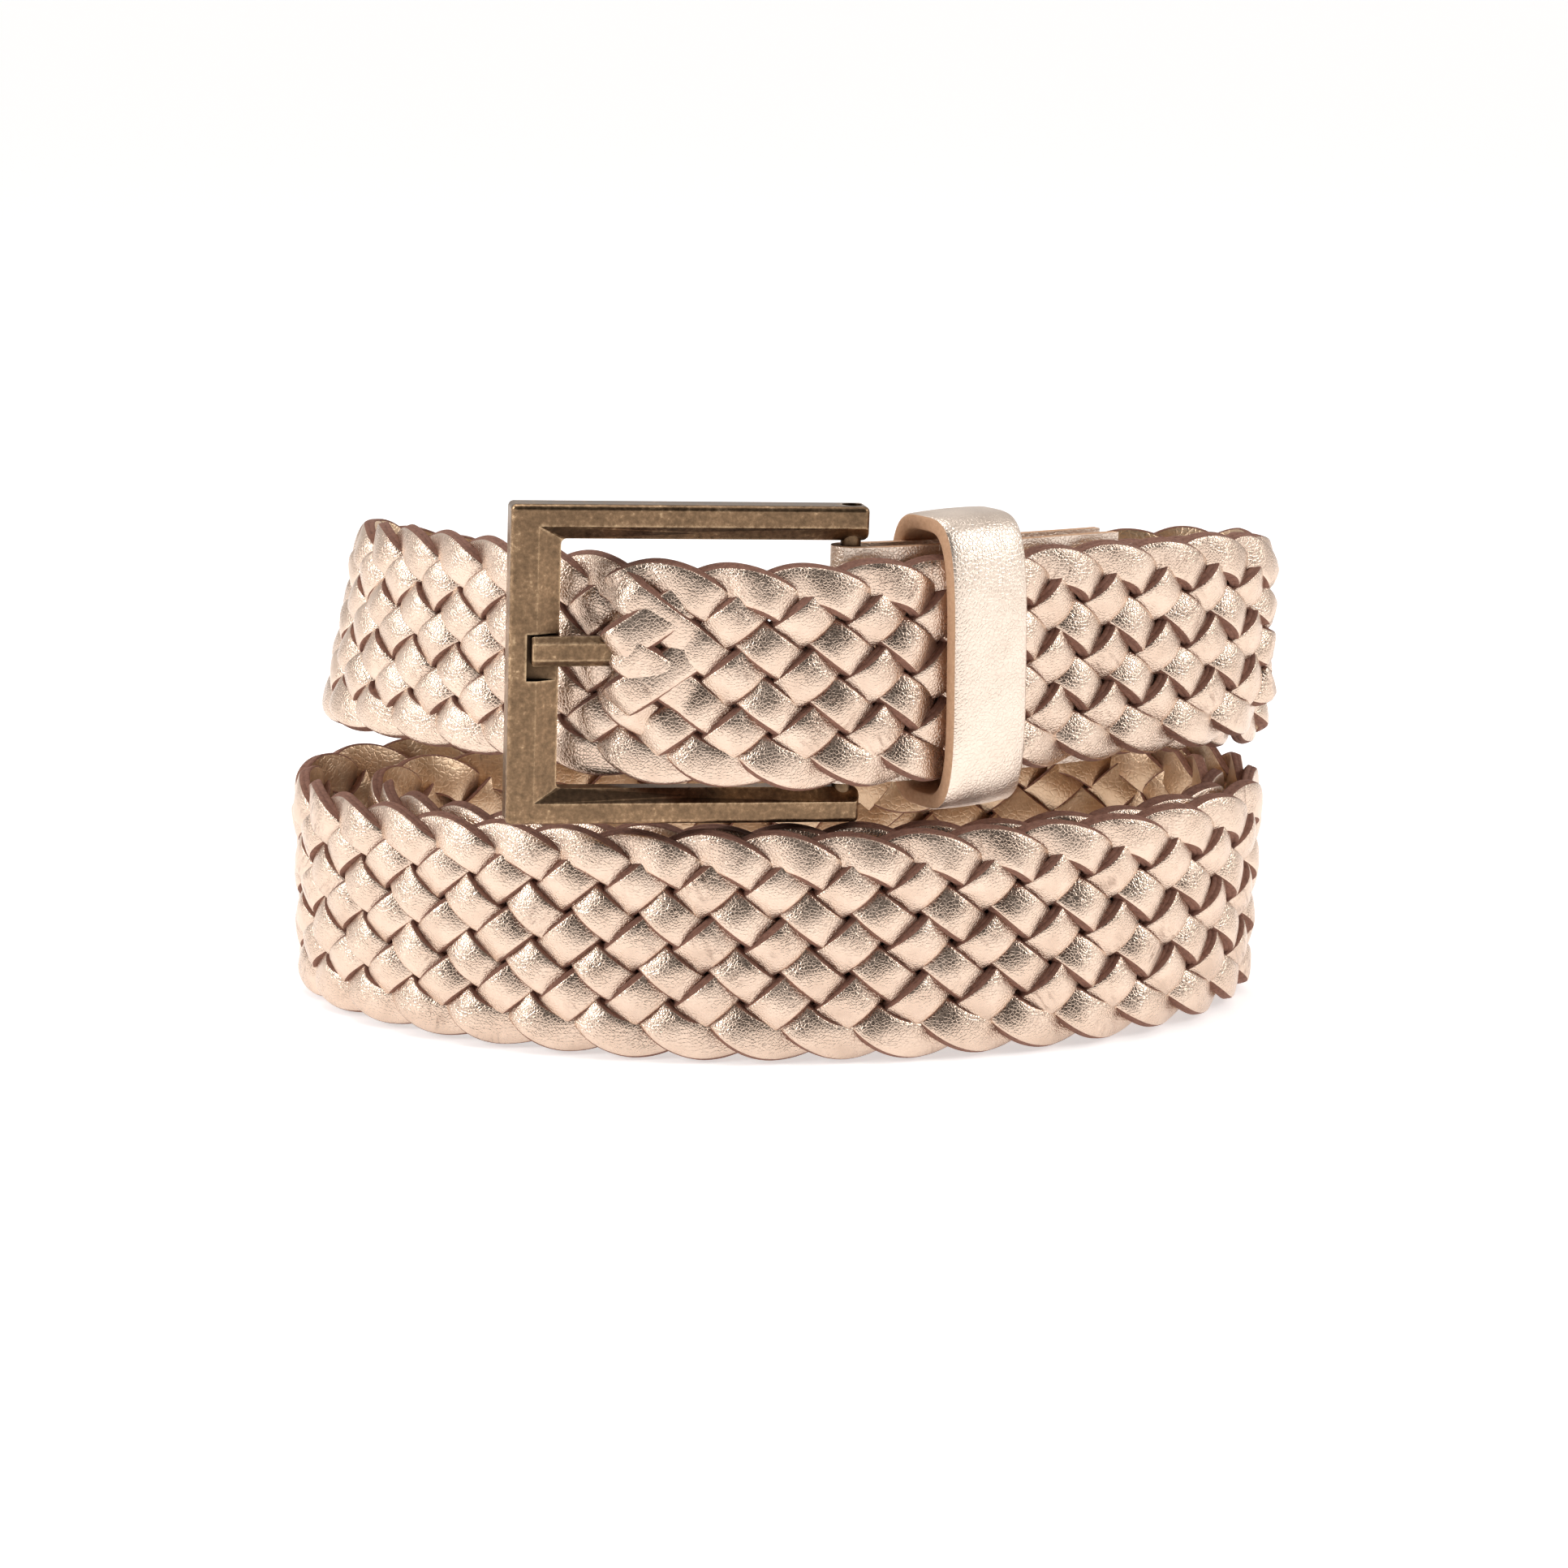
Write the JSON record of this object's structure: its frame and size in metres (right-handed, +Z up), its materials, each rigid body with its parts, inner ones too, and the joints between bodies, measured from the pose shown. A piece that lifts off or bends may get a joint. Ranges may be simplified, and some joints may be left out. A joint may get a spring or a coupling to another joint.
{
  "type": "plaited leather belt",
  "caption": "Flat plaited leather belt with a rectangular antique-brass buckle, smooth leather chape and keeper, fastened and coiled on edge.",
  "frame": {"origin": "on the ground under the middle of the coil's bounding box", "axes": "+Z up, the buckle faces -Y, +X towards the free tip of the strap"},
  "size_m": [0.1508, 0.084, 0.0813],
  "materials": {
    "antique_brass": "antiqued brass, dark in the hollows and rubbed golden on the edges",
    "smooth_leather": "metallic champagne foil on fine-grained leather, tan raw edges",
    "plaited_leather": "metallic rose-gold foil with a crackled grain, rosy-brown raw edges",
    "thread": "waxed thread"
  },
  "bodies": {
    "strap": {"plait_root_in_chape": "plaited_leather", "plait_upper_right": "plaited_leather", "plait_back_right_corner": "plaited_leather", "plait_descent": "plaited_leather", "plait_inner_left": "plaited_leather", "plait_inner_front_left": "plaited_leather", "plait_inner_front_right": "plaited_leather", "plait_inner_right": "plaited_leather", "plait_middle_back": "plaited_leather", "plait_outer_left": "plaited_leather", "plait_outer_front_left": "plaited_leather", "plait_outer_front_right": "plaited_leather", "plait_outer_right": "plaited_leather", "plait_climb": "plaited_leather", "plait_upper_left": "plaited_leather", "plait_upper_front": "plaited_leather", "plait_above_prong": "plaited_leather", "plait_below_prong": "plaited_leather", "plait_over_hinge": "plaited_leather", "plait_tail_in_keeper": "plaited_leather", "plait_tail_end": "plaited_leather", "chape": "smooth_leather", "chape_stitches": "thread"},
    "buckle": {"buckle_frame": "antique_brass", "hinge_bar": "antique_brass"},
    "prong": {"prong": "antique_brass"},
    "keeper": {"keeper_loop": "smooth_leather", "keeper_stitches": "thread"}
  },
  "joints": [
    {"name": "buckle_swing", "type": "hinge", "parent": "strap", "child": "buckle", "pos_m": [0.00868, -0.02989, 0.05705], "axis": [0.0343, 0.0064, 0.9994], "range_deg": [0, 1.5]},
    {"name": "prong_pivot", "type": "hinge", "parent": "buckle", "child": "prong", "pos_m": [0.00875, -0.02987, 0.0592], "axis": [0.0343, 0.0064, 0.9994], "range_deg": [0, 1.5]},
    {"name": "keeper_slide", "type": "slide", "parent": "strap", "child": "keeper", "axis": [0.8328, 0.5536, 0], "range_m": [-0.003, 0.004]}
  ]
}
